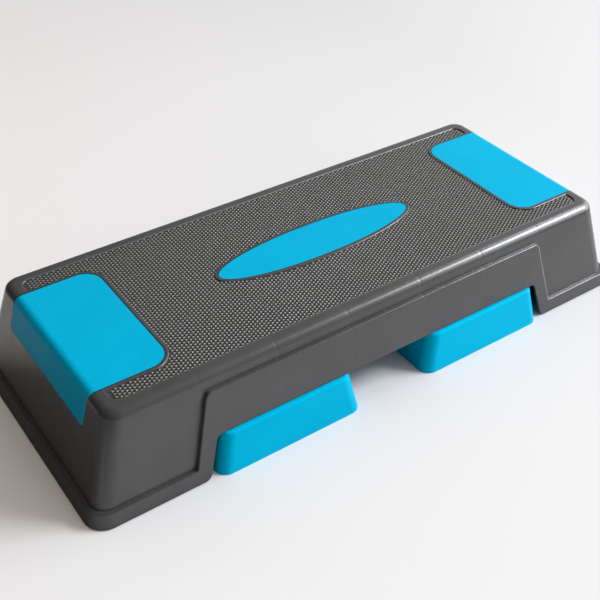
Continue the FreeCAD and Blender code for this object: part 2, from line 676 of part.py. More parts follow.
# Rubber feet: four under the shell's corners, four on each leg's sole.
shell_foot = [("0", "0"), ("foot_radius", "0"), ("foot_radius", "foot_gap"), ("stem_radius", "foot_gap"),
              ("stem_radius", "foot_gap + web_thickness"), ("0", "foot_gap + web_thickness")]
sole_foot = [("0", "-leg_roof"), ("stem_radius", "-leg_roof"), ("stem_radius", "0"), ("foot_radius", "0"),
             ("foot_radius", "leg_foot"), ("0", "leg_foot")]
for (a, b) in corners:
    end = "left" if a < 0 else "right"
    side = "front" if b < 0 else "rear"
    foot = turned(f"{end}_{side}_shell_foot", shell_foot)
    place(foot, f"{a} * {foot_x}", f"{b} * {foot_y}")
    nodes.append(foot)
for sign, end in zip(signs, ("left", "right")):
    for (a, b), (x, y) in zip(corners, sole_feet):
        row = "inner" if a < 0 else "outer"
        side = "front" if b < 0 else "rear"
        foot = turned(f"{end}_{row}_{side}_sole_foot", sole_foot)
        place(foot, f"{sign} * ({x})", y, "leg_height")
        nodes.append(foot)

# Every feature is checked before anything is written.
doc.recompute()
for item in doc.Objects:
    if "Invalid" in item.State or "Error" in item.State:
        raise RuntimeError("%s did not build: %s" % (item.Label, item.State))
os.makedirs("parts", exist_ok=True)
for node in nodes:
    if node.Shape.isNull() or not node.Shape.isValid():
        raise RuntimeError("%s has no valid shape" % node.Label)
    print(node.Label, len(node.Shape.Solids), "solids", round(node.Shape.Volume / 1000, 2), "cm3")
    node.Shape.exportStep("parts/%s.step" % node.Label)
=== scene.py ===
import json
import bpy
import numpy as np
from mathutils import Matrix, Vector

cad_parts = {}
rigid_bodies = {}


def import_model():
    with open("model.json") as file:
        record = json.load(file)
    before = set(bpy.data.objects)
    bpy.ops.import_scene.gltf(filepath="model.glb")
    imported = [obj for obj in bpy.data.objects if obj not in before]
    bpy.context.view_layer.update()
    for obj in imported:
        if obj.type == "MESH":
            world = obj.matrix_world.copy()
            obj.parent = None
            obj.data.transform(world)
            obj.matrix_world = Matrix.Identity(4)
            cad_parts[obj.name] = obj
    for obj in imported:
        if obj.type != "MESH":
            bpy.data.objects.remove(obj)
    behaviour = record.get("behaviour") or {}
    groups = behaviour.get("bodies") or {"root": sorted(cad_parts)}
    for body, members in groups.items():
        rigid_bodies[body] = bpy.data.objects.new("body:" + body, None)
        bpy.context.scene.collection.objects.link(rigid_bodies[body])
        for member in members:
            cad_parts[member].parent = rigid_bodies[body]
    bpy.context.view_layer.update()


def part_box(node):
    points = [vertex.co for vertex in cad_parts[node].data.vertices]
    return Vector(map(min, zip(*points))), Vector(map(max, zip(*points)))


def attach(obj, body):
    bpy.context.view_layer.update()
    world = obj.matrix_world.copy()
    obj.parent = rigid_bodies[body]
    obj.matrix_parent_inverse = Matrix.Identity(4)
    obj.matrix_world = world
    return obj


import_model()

mm = 0.001  # lengths in the dictionaries are in millimetres, the scene is in metres
padCorner = 20.0  # radius of the end pads' inner corners
deckAbove = 109.5  # points above this height count as the deck's face


def toLinear(hexColour):
    # sRGB hex to linear: a straight foot below 0.04045, a 2.4 power above it
    parts = [int(hexColour[i:i + 2], 16) / 255 for i in (1, 3, 5)]
    return [p / 12.92 if p <= 0.04045 else ((p + 0.055) / 1.055) ** 2.4 for p in parts] + [1.0]


def addNode(tree, kind, settings=None, links=None):
    # one node: a setting is an attribute or an input's value, a link names the output it takes
    # by number, Map Range takes value, from low and high, to low and high
    # a Mix of colours takes factor 0 and colours 6 and 7, and gives 2
    node = tree.nodes.new(kind)
    for key, value in (settings or {}).items():
        if isinstance(key, str) and hasattr(node, key):
            setattr(node, key, value)
        else:
            node.inputs[key].default_value = value
    for key, output in (links or {}).items():
        tree.links.new(output, node.inputs[key])
    return node


def newMaterial(name):
    # empty node tree with object coordinates, a shader and an output
    material = bpy.data.materials.new(name)
    material.use_nodes = True
    tree = material.node_tree
    tree.nodes.clear()
    place = addNode(tree, "ShaderNodeTexCoord")
    shader = addNode(tree, "ShaderNodeBsdfPrincipled")
    addNode(tree, "ShaderNodeOutputMaterial", links={"Surface": shader.outputs["BSDF"]})
    return material, tree, place.outputs["Object"], shader


def perSize(size):
    # scale of a noise whose features are about that many millimetres apart
    return 1 / (size * mm)


def newPiece(name, points, faces, material, body):
    # flat-faced mesh from whole arrays, riding on a body of the frame
    mesh = bpy.data.meshes.new(name)
    mesh.from_pydata(points.reshape(-1, 3), [], faces)
    mesh.polygons.foreach_set("use_smooth", np.full(len(mesh.polygons), False))
    mesh.materials.append(material)
    mesh.update()
    piece = bpy.data.objects.new(name, mesh)
    bpy.context.collection.objects.link(piece)
    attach(piece, body)


# Moulded plastic

# what all of it shares: the band of each noise that is spread to its full range, and the plastic's gloss
moulding = {"tintLow": 0.35, "tintHigh": 0.65, "tintDetail": 3.0,
            "streakLow": 0.3, "streakHigh": 0.7, "streakStretch": 25.0, "streakDetail": 2.0,
            "grainDetail": 2.0, "grainStrength": 0.5, "ior": 1.49}

# moulded polypropylene, mass-coloured anthracite: satin, with a fine eroded grain and faint flow mottling
shellFinish = {"dark": "#434344", "light": "#484849", "mottle": 45.0, "streak": 18.0,
               "grain": 1.0, "grainDepth": 0.002, "roughLow": 0.255, "roughHigh": 0.28,
               "specular": 0.6, "sheen": "#ffffff",
               "sinks": {"first": 46.0, "pitch": 84.25, "half": 3.0, "depth": 0.06},
               # painted shade, near black, in the joint round the inlays
               "jointShading": {"colour": "#060606", "joint": 0.7, "fade": 0.6},
               # painted highlights along the right panel's leaning edge and the deck field's long edges
               "edgeHighlight": {"colour": "#969694", "x": 230.4, "low": 16.5, "top": 93.0,
                         "lean": (0.967, 0.256), "half": 1.0, "core": 0.6, "facing": 0.6,
                         "breakLow": 0.3, "breakHigh": 0.5, "breakTone": 0.5,
                         "lipY": 101.6, "lipHalf": 0.8, "lipEndX": 285.0, "lipLeft": 0.15, "lipRight": 0.6}}

# the tread is duller than the walls; its colour is painted darker down in the grooves and paler on the tips,
# as painted shade and painted light between the studs
treadFinish = {"dark": "#3e3d38", "light": "#454440", "mottle": 30.0, "streak": 4.0,
               "grain": 1.4, "grainDepth": 0.004, "roughLow": 0.36, "roughHigh": 0.42,
               "specular": 0.5, "sheen": "#ffffff",
               # painted shade in the grooves and painted light on the tips
               "studShading": {"grooveShade": "#232220", "tipLight": "#4e4c45", "share": 0.6,
                        "low": 108.75, "high": 109.7}}

# the same plastic in blue, coloured all through: duller than the shell, with hardly any gloss
legFinish = {"dark": "#00b2dc", "light": "#00b7e0", "mottle": 60.0, "streak": 3.0,
             "grain": 1.2, "grainDepth": 0.006, "roughLow": 0.38, "roughHigh": 0.46,
             "specular": 0.06, "sheen": "#00c8f0"}

# the inlays are a little darker than the legs
inlayFinish = dict(legFinish, dark="#00aad5", light="#00afd9",
                   bosses={"x": 264.0, "apart": 19.0, "y": 58.0, "inner": 4.0, "outer": 7.5, "depth": 0.12})


def knurlShadeAndLight(tree, where, shown, studShading):
    # painted shade and light: colour by height in the knurl, dark in the grooves and pale on the tips, mixed
    # with the mottling
    apart = addNode(tree, "ShaderNodeSeparateXYZ", links={0: where})
    height = addNode(tree, "ShaderNodeMapRange", {1: studShading["low"] * mm, 2: studShading["high"] * mm},
                     {0: apart.outputs["Z"]})
    shadedByHeight = addNode(tree, "ShaderNodeMix",
                   {"data_type": "RGBA", 6: toLinear(studShading["grooveShade"]), 7: toLinear(studShading["tipLight"])},
                   {0: height.outputs[0]})
    mixed = addNode(tree, "ShaderNodeMix", {"data_type": "RGBA", 0: studShading["share"]},
                    {6: shown, 7: shadedByHeight.outputs[2]})
    return mixed.outputs[2]


def ribSinks(tree, where, relief, sinks):
    # shallow sinks over the ribs: folding the length at their pitch gives the distance to the nearest
    apart = addNode(tree, "ShaderNodeSeparateXYZ", links={0: where})
    along = addNode(tree, "ShaderNodeMath", {"operation": "ABSOLUTE"}, {0: apart.outputs["X"]})
    offset = addNode(tree, "ShaderNodeMath", {"operation": "SUBTRACT", 1: sinks["first"] * mm},
                     {0: along.outputs[0]})
    nearest = addNode(tree, "ShaderNodeMath", {"operation": "PINGPONG", 1: sinks["pitch"] / 2 * mm},
                      {0: offset.outputs[0]})
    sink = addNode(tree, "ShaderNodeMapRange",
                   {"interpolation_type": "SMOOTHSTEP", 1: 0.0, 2: sinks["half"] * mm},
                   {0: nearest.outputs[0]})
    sunk = addNode(tree, "ShaderNodeBump", {"Strength": 1.0, "Distance": sinks["depth"] * mm},
                   {"Height": sink.outputs[0], "Normal": relief})
    return sunk.outputs[0]


def bossSinks(tree, where, relief, bosses):
    # round sinks over the screw bosses: both lengths folded onto one boss, then the distance to it
    spread = addNode(tree, "ShaderNodeVectorMath", {"operation": "ABSOLUTE"}, {0: where})
    shifted = addNode(tree, "ShaderNodeVectorMath",
                      {"operation": "SUBTRACT", 1: (bosses["x"] * mm, bosses["y"] * mm, 0.0)},
                      {0: spread.outputs[0]})
    folded = addNode(tree, "ShaderNodeVectorMath", {"operation": "ABSOLUTE"}, {0: shifted.outputs[0]})
    boss = addNode(tree, "ShaderNodeVectorMath",
                   {"operation": "MULTIPLY_ADD", 1: (1.0, 1.0, 0.0), 2: (-bosses["apart"] * mm, 0.0, 0.0)},
                   {0: folded.outputs[0]})
    away = addNode(tree, "ShaderNodeVectorMath", {"operation": "LENGTH"}, {0: boss.outputs[0]})
    dish = addNode(tree, "ShaderNodeMapRange",
                   {"interpolation_type": "SMOOTHSTEP", 1: bosses["inner"] * mm, 2: bosses["outer"] * mm},
                   {0: away.outputs["Value"]})
    sunk = addNode(tree, "ShaderNodeBump", {"Strength": 1.0, "Distance": bosses["depth"] * mm},
                   {"Height": dish.outputs[0], "Normal": relief})
    return sunk.outputs[0]


def jointShade(tree, where, shown, jointShading):
    # painted shade in the joint round the inlays, by how far a point lies past the pads' or the oval's edge
    padBox, ovalBox = np.array(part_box("right_end_pad")), np.array(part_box("centre_badge"))
    corner = padCorner * mm
    # a pad's edge is a square corner drawn in by the corner radius, then grown by it
    plan = addNode(tree, "ShaderNodeVectorMath", {"operation": "ABSOLUTE"}, {0: where})
    turned = addNode(tree, "ShaderNodeVectorMath",
                     {"operation": "MULTIPLY_ADD", 1: (-1.0, 1.0, 0.0),
                      2: (padBox[0, 0] + corner, corner - padBox[1, 1], 0.0)},
                     {0: plan.outputs[0]})
    outside = addNode(tree, "ShaderNodeVectorMath", {"operation": "MAXIMUM", 1: (0.0, 0.0, 0.0)},
                      {0: turned.outputs[0]})
    padAway = addNode(tree, "ShaderNodeVectorMath", {"operation": "LENGTH"}, {0: outside.outputs[0]})
    padEdge = addNode(tree, "ShaderNodeMath", {"operation": "SUBTRACT", 1: corner},
                      {0: padAway.outputs["Value"]})
    # near the oval's rim: its scaled radius minus one, over how fast that radius grows there
    perAxis = (1 / ovalBox[1, 0], 1 / ovalBox[1, 1], 0.0)
    oval = addNode(tree, "ShaderNodeVectorMath", {"operation": "MULTIPLY", 1: perAxis}, {0: where})
    slope = addNode(tree, "ShaderNodeVectorMath", {"operation": "MULTIPLY", 1: perAxis},
                    {0: oval.outputs[0]})
    radius = addNode(tree, "ShaderNodeVectorMath", {"operation": "LENGTH"}, {0: oval.outputs[0]})
    steep = addNode(tree, "ShaderNodeVectorMath", {"operation": "LENGTH"}, {0: slope.outputs[0]})
    over = addNode(tree, "ShaderNodeMath", {"operation": "SUBTRACT", 1: 1.0}, {0: radius.outputs["Value"]})
    ovalEdge = addNode(tree, "ShaderNodeMath", {"operation": "DIVIDE"},
                       {0: over.outputs[0], 1: steep.outputs["Value"]})
    edge = addNode(tree, "ShaderNodeMath", {"operation": "MINIMUM"},
                   {0: padEdge.outputs[0], 1: ovalEdge.outputs[0]})
    joint = addNode(tree, "ShaderNodeMapRange",
                    {1: jointShading["joint"] * mm, 2: (jointShading["joint"] + jointShading["fade"]) * mm, 3: 1.0, 4: 0.0},
                    {0: edge.outputs[0]})
    apart = addNode(tree, "ShaderNodeSeparateXYZ", links={0: where})
    onDeck = addNode(tree, "ShaderNodeMath", {"operation": "GREATER_THAN", 1: deckAbove * mm},
                     {0: apart.outputs["Z"]})
    shadedJoint = addNode(tree, "ShaderNodeMath", {"operation": "MULTIPLY"},
                    {0: joint.outputs[0], 1: onDeck.outputs[0]})
    # painted shade: near black in the joint, on the deck's face only
    mixed = addNode(tree, "ShaderNodeMix", {"data_type": "RGBA", 7: toLinear(jointShading["colour"])},
                    {0: shadedJoint.outputs[0], 6: shown})
    return mixed.outputs[2]


def paintedEdgeHighlights(tree, where, shown, streak, edgeHighlight):
    # painted highlight along the right panel's leaning edge, by the distance to its line seen from the side
    apart = addNode(tree, "ShaderNodeSeparateXYZ", links={0: where})
    lean = (edgeHighlight["lean"][0], 0.0, edgeHighlight["lean"][1])
    offLine = addNode(tree, "ShaderNodeVectorMath",
                      {"operation": "SUBTRACT", 1: (edgeHighlight["x"] * mm, 0.0, edgeHighlight["low"] * mm)}, {0: where})
    across = addNode(tree, "ShaderNodeVectorMath", {"operation": "DOT_PRODUCT", 1: lean},
                     {0: offLine.outputs[0]})
    width = addNode(tree, "ShaderNodeMath", {"operation": "ABSOLUTE"}, {0: across.outputs["Value"]})
    line = addNode(tree, "ShaderNodeMapRange",
                   {1: edgeHighlight["half"] * mm, 2: edgeHighlight["half"] * edgeHighlight["core"] * mm}, {0: width.outputs[0]})
    broken = addNode(tree, "ShaderNodeMapRange",
                     {1: edgeHighlight["breakLow"], 2: edgeHighlight["breakHigh"], 3: edgeHighlight["breakTone"]}, {0: streak})
    lower = addNode(tree, "ShaderNodeMath", {"operation": "GREATER_THAN", 1: edgeHighlight["low"] * mm},
                    {0: apart.outputs["Z"]})
    upper = addNode(tree, "ShaderNodeMath", {"operation": "LESS_THAN", 1: edgeHighlight["top"] * mm},
                    {0: apart.outputs["Z"]})
    # only on the outer face, which looks along the short side
    normal = addNode(tree, "ShaderNodeTexCoord").outputs["Normal"]
    outward = addNode(tree, "ShaderNodeVectorMath", {"operation": "ABSOLUTE"}, {0: normal})
    turned = addNode(tree, "ShaderNodeSeparateXYZ", links={0: outward.outputs[0]})
    outer = addNode(tree, "ShaderNodeMath", {"operation": "GREATER_THAN", 1: edgeHighlight["facing"]},
                    {0: turned.outputs["Y"]})
    edgeLight = line.outputs[0]
    for limit in (broken, lower, upper, outer):
        edgeLight = addNode(tree, "ShaderNodeMath", {"operation": "MULTIPLY"},
                          {0: edgeLight, 1: limit.outputs[0]}).outputs[0]
    # and a painted highlight along the long edges of the deck field, stronger towards the right
    beside = addNode(tree, "ShaderNodeVectorMath", {"operation": "ABSOLUTE"}, {0: where})
    sides = addNode(tree, "ShaderNodeSeparateXYZ", links={0: beside.outputs[0]})
    lip = addNode(tree, "ShaderNodeMath",
                  {"operation": "COMPARE", 1: edgeHighlight["lipY"] * mm, 2: edgeHighlight["lipHalf"] * mm},
                  {0: sides.outputs["Y"]})
    onField = addNode(tree, "ShaderNodeMath", {"operation": "LESS_THAN", 1: edgeHighlight["lipEndX"] * mm},
                      {0: sides.outputs["X"]})
    onDeck = addNode(tree, "ShaderNodeMath", {"operation": "GREATER_THAN", 1: deckAbove * mm},
                     {0: apart.outputs["Z"]})
    grows = addNode(tree, "ShaderNodeMapRange",
                    {1: -edgeHighlight["lipEndX"] * mm, 2: edgeHighlight["lipEndX"] * mm,
                     3: edgeHighlight["lipLeft"], 4: edgeHighlight["lipRight"]}, {0: apart.outputs["X"]})
    lipLight = lip.outputs[0]
    for limit in (onField, onDeck, grows):
        lipLight = addNode(tree, "ShaderNodeMath", {"operation": "MULTIPLY"},
                         {0: lipLight, 1: limit.outputs[0]}).outputs[0]
    paintedLight = addNode(tree, "ShaderNodeMath", {"operation": "MAXIMUM"}, {0: edgeLight, 1: lipLight})
    # painted highlight: the pale colour where either line lies
    mixed = addNode(tree, "ShaderNodeMix", {"data_type": "RGBA", 7: toLinear(edgeHighlight["colour"])},
                    {0: paintedLight.outputs[0], 6: shown})
    return mixed.outputs[2]


def mouldedPlastic(name, finish):
    # colour from slow mottling, roughness from upright streaks, bump from the mould's grain
    material, tree, where, shader = newMaterial(name)
    mottle = addNode(tree, "ShaderNodeTexNoise",
                     {"Scale": perSize(finish["mottle"]), "Detail": moulding["tintDetail"]},
                     {"Vector": where})
    tint = addNode(tree, "ShaderNodeMapRange", {1: moulding["tintLow"], 2: moulding["tintHigh"]},
                   {0: mottle.outputs["Fac"]})
    colour = addNode(tree, "ShaderNodeMix",
                     {"data_type": "RGBA", 6: toLinear(finish["dark"]), 7: toLinear(finish["light"])},
                     {0: tint.outputs[0]})
    upright = addNode(tree, "ShaderNodeMapping", {"Scale": (1.0, 1.0, 1 / moulding["streakStretch"])},
                      {"Vector": where})
    streak = addNode(tree, "ShaderNodeTexNoise",
                     {"Scale": perSize(finish["streak"]), "Detail": moulding["streakDetail"]},
                     {"Vector": upright.outputs[0]})
    rough = addNode(tree, "ShaderNodeMapRange",
                    {1: moulding["streakLow"], 2: moulding["streakHigh"],
                     3: finish["roughLow"], 4: finish["roughHigh"]}, {0: streak.outputs["Fac"]})
    # the real grain is about 0.2 mm across, drawn coarser so that it shows
    grain = addNode(tree, "ShaderNodeTexNoise",
                    {"Scale": perSize(finish["grain"]), "Detail": moulding["grainDetail"]},
                    {"Vector": where})
    bump = addNode(tree, "ShaderNodeBump",
                   {"Strength": moulding["grainStrength"], "Distance": finish["grainDepth"] * mm},
                   {"Height": grain.outputs["Fac"]})
    shown, relief = colour.outputs[2], bump.outputs[0]
    if "studShading" in finish:
        shown = knurlShadeAndLight(tree, where, shown, finish["studShading"])
    if "sinks" in finish:
        relief = ribSinks(tree, where, relief, finish["sinks"])
    if "jointShading" in finish:
        shown = jointShade(tree, where, shown, finish["jointShading"])
    if "edgeHighlight" in finish:
        shown = paintedEdgeHighlights(tree, where, shown, streak.outputs["Fac"], finish["edgeHighlight"])
    if "bosses" in finish:
        relief = bossSinks(tree, where, relief, finish["bosses"])
    shader.inputs["IOR"].default_value = moulding["ior"]
    shader.inputs["Specular IOR Level"].default_value = finish["specular"]
    shader.inputs["Specular Tint"].default_value = toLinear(finish["sheen"])
    tree.links.new(shown, shader.inputs["Base Color"])
    tree.links.new(rough.outputs[0], shader.inputs["Roughness"])
    tree.links.new(relief, shader.inputs["Normal"])
    return material


anthracite = mouldedPlastic("moulded anthracite polypropylene", shellFinish)
# the tread's material has painted shade in the grooves and painted light on the tips
shadedTread = mouldedPlastic("anthracite polypropylene tread, painted shade and light", treadFinish)
inlayBlue = mouldedPlastic("moulded blue polypropylene, inlays", inlayFinish)
cleanBlue = mouldedPlastic("moulded blue polypropylene", legFinish)

# Rubber and steel

# moulded nitrile rubber: matt, near black, dusty grey where it is rubbed
rubberFinish = {"dark": "#1d1d1d", "light": "#2a2928", "cloud": 6.0, "cloudDetail": 4.0, "metallic": 0.0,
                "roughLow": 0.7, "roughHigh": 0.9, "marks": 0.8, "marksStrength": 0.4, "marksDepth": 0.02}

# zinc-plated steel, barrel finished: bright grey with cloudy patches and fine tumbling marks
steelFinish = {"dark": "#b4b4b0", "light": "#cfcfca", "cloud": 4.0, "cloudDetail": 3.0, "metallic": 1.0,
               "roughLow": 0.28, "roughHigh": 0.45, "marks": 0.6, "marksStrength": 0.3, "marksDepth": 0.01}


def cloudedSurface(name, finish):
    # colour and roughness from the same cloudy noise, bump from finer marks
    material, tree, where, shader = newMaterial(name)
    cloud = addNode(tree, "ShaderNodeTexNoise",
                    {"Scale": perSize(finish["cloud"]), "Detail": finish["cloudDetail"]}, {"Vector": where})
    colour = addNode(tree, "ShaderNodeMix",
                     {"data_type": "RGBA", 6: toLinear(finish["dark"]), 7: toLinear(finish["light"])},
                     {0: cloud.outputs["Fac"]})
    rough = addNode(tree, "ShaderNodeMapRange", {3: finish["roughLow"], 4: finish["roughHigh"]},
                    {0: cloud.outputs["Fac"]})
    marks = addNode(tree, "ShaderNodeTexNoise", {"Scale": perSize(finish["marks"])}, {"Vector": where})
    bump = addNode(tree, "ShaderNodeBump",
                   {"Strength": finish["marksStrength"], "Distance": finish["marksDepth"] * mm},
                   {"Height": marks.outputs["Fac"]})
    shader.inputs["Metallic"].default_value = finish["metallic"]
    tree.links.new(colour.outputs[2], shader.inputs["Base Color"])
    tree.links.new(rough.outputs[0], shader.inputs["Roughness"])
    tree.links.new(bump.outputs[0], shader.inputs["Normal"])
    return material


rubber = cloudedSurface("moulded nitrile rubber", rubberFinish)
steel = cloudedSurface("zinc-plated steel", steelFinish)


def finishOf(nodeName):
    # the material of a node, by what its name says it is
    if "foot" in nodeName:
        return rubber
    if "pin" in nodeName or "screws" in nodeName:
        return steel
    if nodeName == "platform_shell":
        return anthracite
    return cleanBlue if "leg" in nodeName else inlayBlue


nodeNames = [o.name for o in bpy.context.scene.objects if o.type == "MESH"]
for nodeName in nodeNames:
    mesh = bpy.data.objects[nodeName].data
    mesh.materials.clear()
    mesh.materials.append(finishOf(nodeName))
print("materials on", len(nodeNames), "CAD nodes")

# Knurl of the deck field

# rings and rises: how far out and how high the stud's foot, shoulder and tip lie
knurl = {"pitchX": 3.657, "pitchY": 4.016, "corner": 0.8,
         "rings": (0.98, 0.86, 0.06), "rises": (-0.1, 0.3, 1.27),
         "fieldHalfX": 290.5, "fieldHalfY": 101.0, "fieldCorner": 8.0, "fieldDepth": 1.3,
         "padBorder": 4.0, "ovalBorder": 4.5, "margin": 0.4, "endMargin": 3.0}


def boxDistance(x, y, halfX, halfY, corner):
    # signed distance to a rectangle with round corners: below zero inside it
    outX = np.abs(x) - halfX + corner
    outY = np.abs(y) - halfY + corner
    outside = np.hypot(np.maximum(outX, 0), np.maximum(outY, 0))
    inside = np.minimum(np.maximum(outX, outY), 0)
    return outside + inside - corner


def knurlPlaces(k):
    # rows in step, every second column moved by half a pitch, kept where the field is open
    countX = int(k["fieldHalfX"] / k["pitchX"]) + 1
    countY = int(k["fieldHalfY"] / k["pitchY"]) + 1
    column, row = np.meshgrid(np.arange(-countX, countX + 1), np.arange(-countY, countY + 1), indexing="ij")
    x = column * k["pitchX"]
    y = (row + 0.5 * (column % 2)) * k["pitchY"]
    padBox = np.array(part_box("right_end_pad")) / mm
    ovalBox = np.array(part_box("centre_badge")) / mm
    inField = boxDistance(x, y, k["fieldHalfX"] - k["endMargin"] + k["margin"], k["fieldHalfY"],
                          k["fieldCorner"]) < -k["margin"]
    # the pads' borders, carried on past the end of the field
    padMiddle = padBox[0, 0] + k["fieldHalfX"]
    padHalf = k["fieldHalfX"] + k["padBorder"]
    offPad = boxDistance(np.abs(x) - padMiddle, y, padHalf, padBox[1, 1] + k["padBorder"],
                         padCorner + k["padBorder"]) > k["margin"]
    grow = k["ovalBorder"] + k["margin"]
    offOval = np.hypot(x / (ovalBox[1, 0] + grow), y / (ovalBox[1, 1] + grow)) > 1
    keep = inField & offPad & offOval
    return x[keep], y[keep]


def knurlStuds(k, floorHeight):
    # diamond stud between crossing grooves, its corners drawn in: a steep foot, then facets up to a flat tip
    x, y = knurlPlaces(k)
    around = 8  # points of a ring, by turns a corner and the middle of a side
    here = np.arange(around)
    turn = here * 2 * np.pi / around
    # a full diamond's corners reach 1 and the middles of its sides the root of a half
    out = np.where(here % 2, np.sqrt(0.5), k["corner"])
    reach = np.array(k["rings"])[:, None] * out
    rise = np.broadcast_to(np.array(k["rises"])[:, None], reach.shape)
    ring = np.stack([reach * k["pitchX"] * np.cos(turn), reach * k["pitchY"] / 2 * np.sin(turn), rise], -1)
    # foot and shoulder have all their points, the tip only its four corners
    stud = np.concatenate([ring[0], ring[1], ring[2, ::2]])
    centre = np.stack([x, y, np.full_like(x, floorHeight)], -1)
    points = (centre[:, None, :] + stud[None]) * mm
    after = (here + 1) % around
    foot = np.stack([here, after, after + around, here + around], -1)
    corner = here[::2] + around
    behind = corner + 1
    before = np.roll(behind, 1)
    tip = np.arange(2 * around, len(stud))
    flank = np.concatenate([np.stack([corner, behind, tip], -1), np.stack([before, corner, tip], -1),
                            np.stack([behind, np.roll(tip, -1), tip], -1)])
    offset = (np.arange(len(x)) * len(stud))[:, None, None]
    squares = (np.concatenate([foot, tip[None]])[None] + offset).reshape(-1, 4)
    triangles = (flank[None] + offset).reshape(-1, 3)
    print("knurl:", len(x), "studs,", len(squares) + len(triangles), "faces")
    return points, squares.tolist() + triangles.tolist()


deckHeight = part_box("platform_shell")[1][2] / mm
studPoints, studFaces = knurlStuds(knurl, deckHeight - knurl["fieldDepth"])
newPiece("deck_knurl", studPoints, studFaces, shadedTread, "platform")

# Floor

floorSet = {"half": 9000.0, "roughness": 0.9, "specular": 0.1,
            "left": "#ebecee", "right": "#d4d5d7", "leftX": -300.0, "rightX": 600.0,
            "bounce": "#dcdcdc", "dim": "#8c8c8c", "underY": 120.0, "clearY": 160.0, "underX": 100.0,
            "clearX": 160.0, "glossNear": 600.0, "glossFar": 850.0,
            "near": 700.0, "far": 1700.0, "farX": 1000.0, "farLeft": 0.58, "farRight": 0.84,
            "fadeNear": 1800.0, "fadeFar": 5000.0, "backdrop": 0.88}

# matt paper: pale and without gloss, coloured a little greyer to the right, where the window lights it more
floorMaterial, tree, where, shader = newMaterial("matt paper sweep")
shader.inputs["Roughness"].default_value = floorSet["roughness"]
shader.inputs["Specular IOR Level"].default_value = floorSet["specular"]
ray = addNode(tree, "ShaderNodeLightPath")
apart = addNode(tree, "ShaderNodeSeparateXYZ", links={0: where})
away = addNode(tree, "ShaderNodeVectorMath", {"operation": "LENGTH"}, {0: where})
# painted shade: under the object and to its left the sweep is coloured dark for the light it throws back up,
# which deepens the shade on the faces above it
beside = addNode(tree, "ShaderNodeMath", {"operation": "ABSOLUTE"}, {0: apart.outputs["Y"]})
inside = addNode(tree, "ShaderNodeMapRange", {1: floorSet["underY"] * mm, 2: floorSet["clearY"] * mm},
                 {0: beside.outputs[0]})
beyond = addNode(tree, "ShaderNodeMapRange", {1: floorSet["underX"] * mm, 2: floorSet["clearX"] * mm},
                 {0: apart.outputs["X"]})
clear = addNode(tree, "ShaderNodeMath", {"operation": "MAXIMUM"},
                {0: inside.outputs[0], 1: beyond.outputs[0]})
# gloss sees it pale where it is clear and close and sees the darker tone of that painted shade elsewhere,
# the camera sees it pale everywhere
close = addNode(tree, "ShaderNodeMapRange",
                {1: floorSet["glossNear"] * mm, 2: floorSet["glossFar"] * mm, 3: 1.0, 4: 0.0},
                {0: away.outputs["Value"]})
near = addNode(tree, "ShaderNodeMath", {"operation": "MULTIPLY"}, {0: close.outputs[0], 1: clear.outputs[0]})
gloss = addNode(tree, "ShaderNodeMath", {"operation": "MULTIPLY"},
                {0: near.outputs[0], 1: ray.outputs["Is Glossy Ray"]})
looked = addNode(tree, "ShaderNodeMath", {"operation": "MAXIMUM"},
                 {0: ray.outputs["Is Camera Ray"], 1: gloss.outputs[0]})
soft = addNode(tree, "ShaderNodeMath", {"operation": "MULTIPLY"},
               {0: clear.outputs[0], 1: ray.outputs["Is Diffuse Ray"]})
paintedBounce = addNode(tree, "ShaderNodeMix",
                 {"data_type": "RGBA", 6: toLinear(floorSet["dim"]), 7: toLinear(floorSet["bounce"])},
                 {0: soft.outputs[0]})
along = addNode(tree, "ShaderNodeMapRange", {1: floorSet["leftX"] * mm, 2: floorSet["rightX"] * mm},
                {0: apart.outputs["X"]})
pale = addNode(tree, "ShaderNodeMix",
               {"data_type": "RGBA", 6: toLinear(floorSet["left"]), 7: toLinear(floorSet["right"])},
               {0: along.outputs[0]})
paper = addNode(tree, "ShaderNodeMix", {"data_type": "RGBA"},
                {0: looked.outputs[0], 6: paintedBounce.outputs[2], 7: pale.outputs[2]})
tree.links.new(paper.outputs[2], shader.inputs["Base Color"])
# away from the object the camera sees a tone that no lamp changes
far = addNode(tree, "ShaderNodeMapRange", {1: floorSet["near"] * mm, 2: floorSet["far"] * mm},
              {0: away.outputs["Value"]})
seen = addNode(tree, "ShaderNodeMath", {"operation": "MULTIPLY"},
               {0: far.outputs[0], 1: ray.outputs["Is Camera Ray"]})
tone = addNode(tree, "ShaderNodeMapRange",
               {1: -floorSet["farX"] * mm, 2: floorSet["farX"] * mm,
                3: floorSet["farLeft"], 4: floorSet["farRight"]}, {0: apart.outputs["X"]})
# further off it fades into the backdrop, so that no horizon shows
fade = addNode(tree, "ShaderNodeMapRange", {1: floorSet["fadeNear"] * mm, 2: floorSet["fadeFar"] * mm},
               {0: away.outputs["Value"]})
strength = addNode(tree, "ShaderNodeMix", {"data_type": "FLOAT", 3: floorSet["backdrop"]},
                   {0: fade.outputs[0], 2: tone.outputs[0]})
glow = addNode(tree, "ShaderNodeEmission", links={"Strength": strength.outputs[0]})
blend = addNode(tree, "ShaderNodeMixShader",
                links={0: seen.outputs[0], 1: shader.outputs[0], 2: glow.outputs[0]})
output = next(node for node in tree.nodes if node.type == "OUTPUT_MATERIAL")
tree.links.new(blend.outputs[0], output.inputs["Surface"])

half = floorSet["half"] * mm
floorCorners = [(-half, -half, 0), (half, -half, 0), (half, half, 0), (-half, half, 0)]
floorMesh = bpy.data.meshes.new("floor")
floorMesh.from_pydata(floorCorners, [], [(0, 1, 2, 3)])
floorMesh.materials.append(floorMaterial)
floor = bpy.data.objects.new("floor", floorMesh)
bpy.context.collection.objects.link(floor)

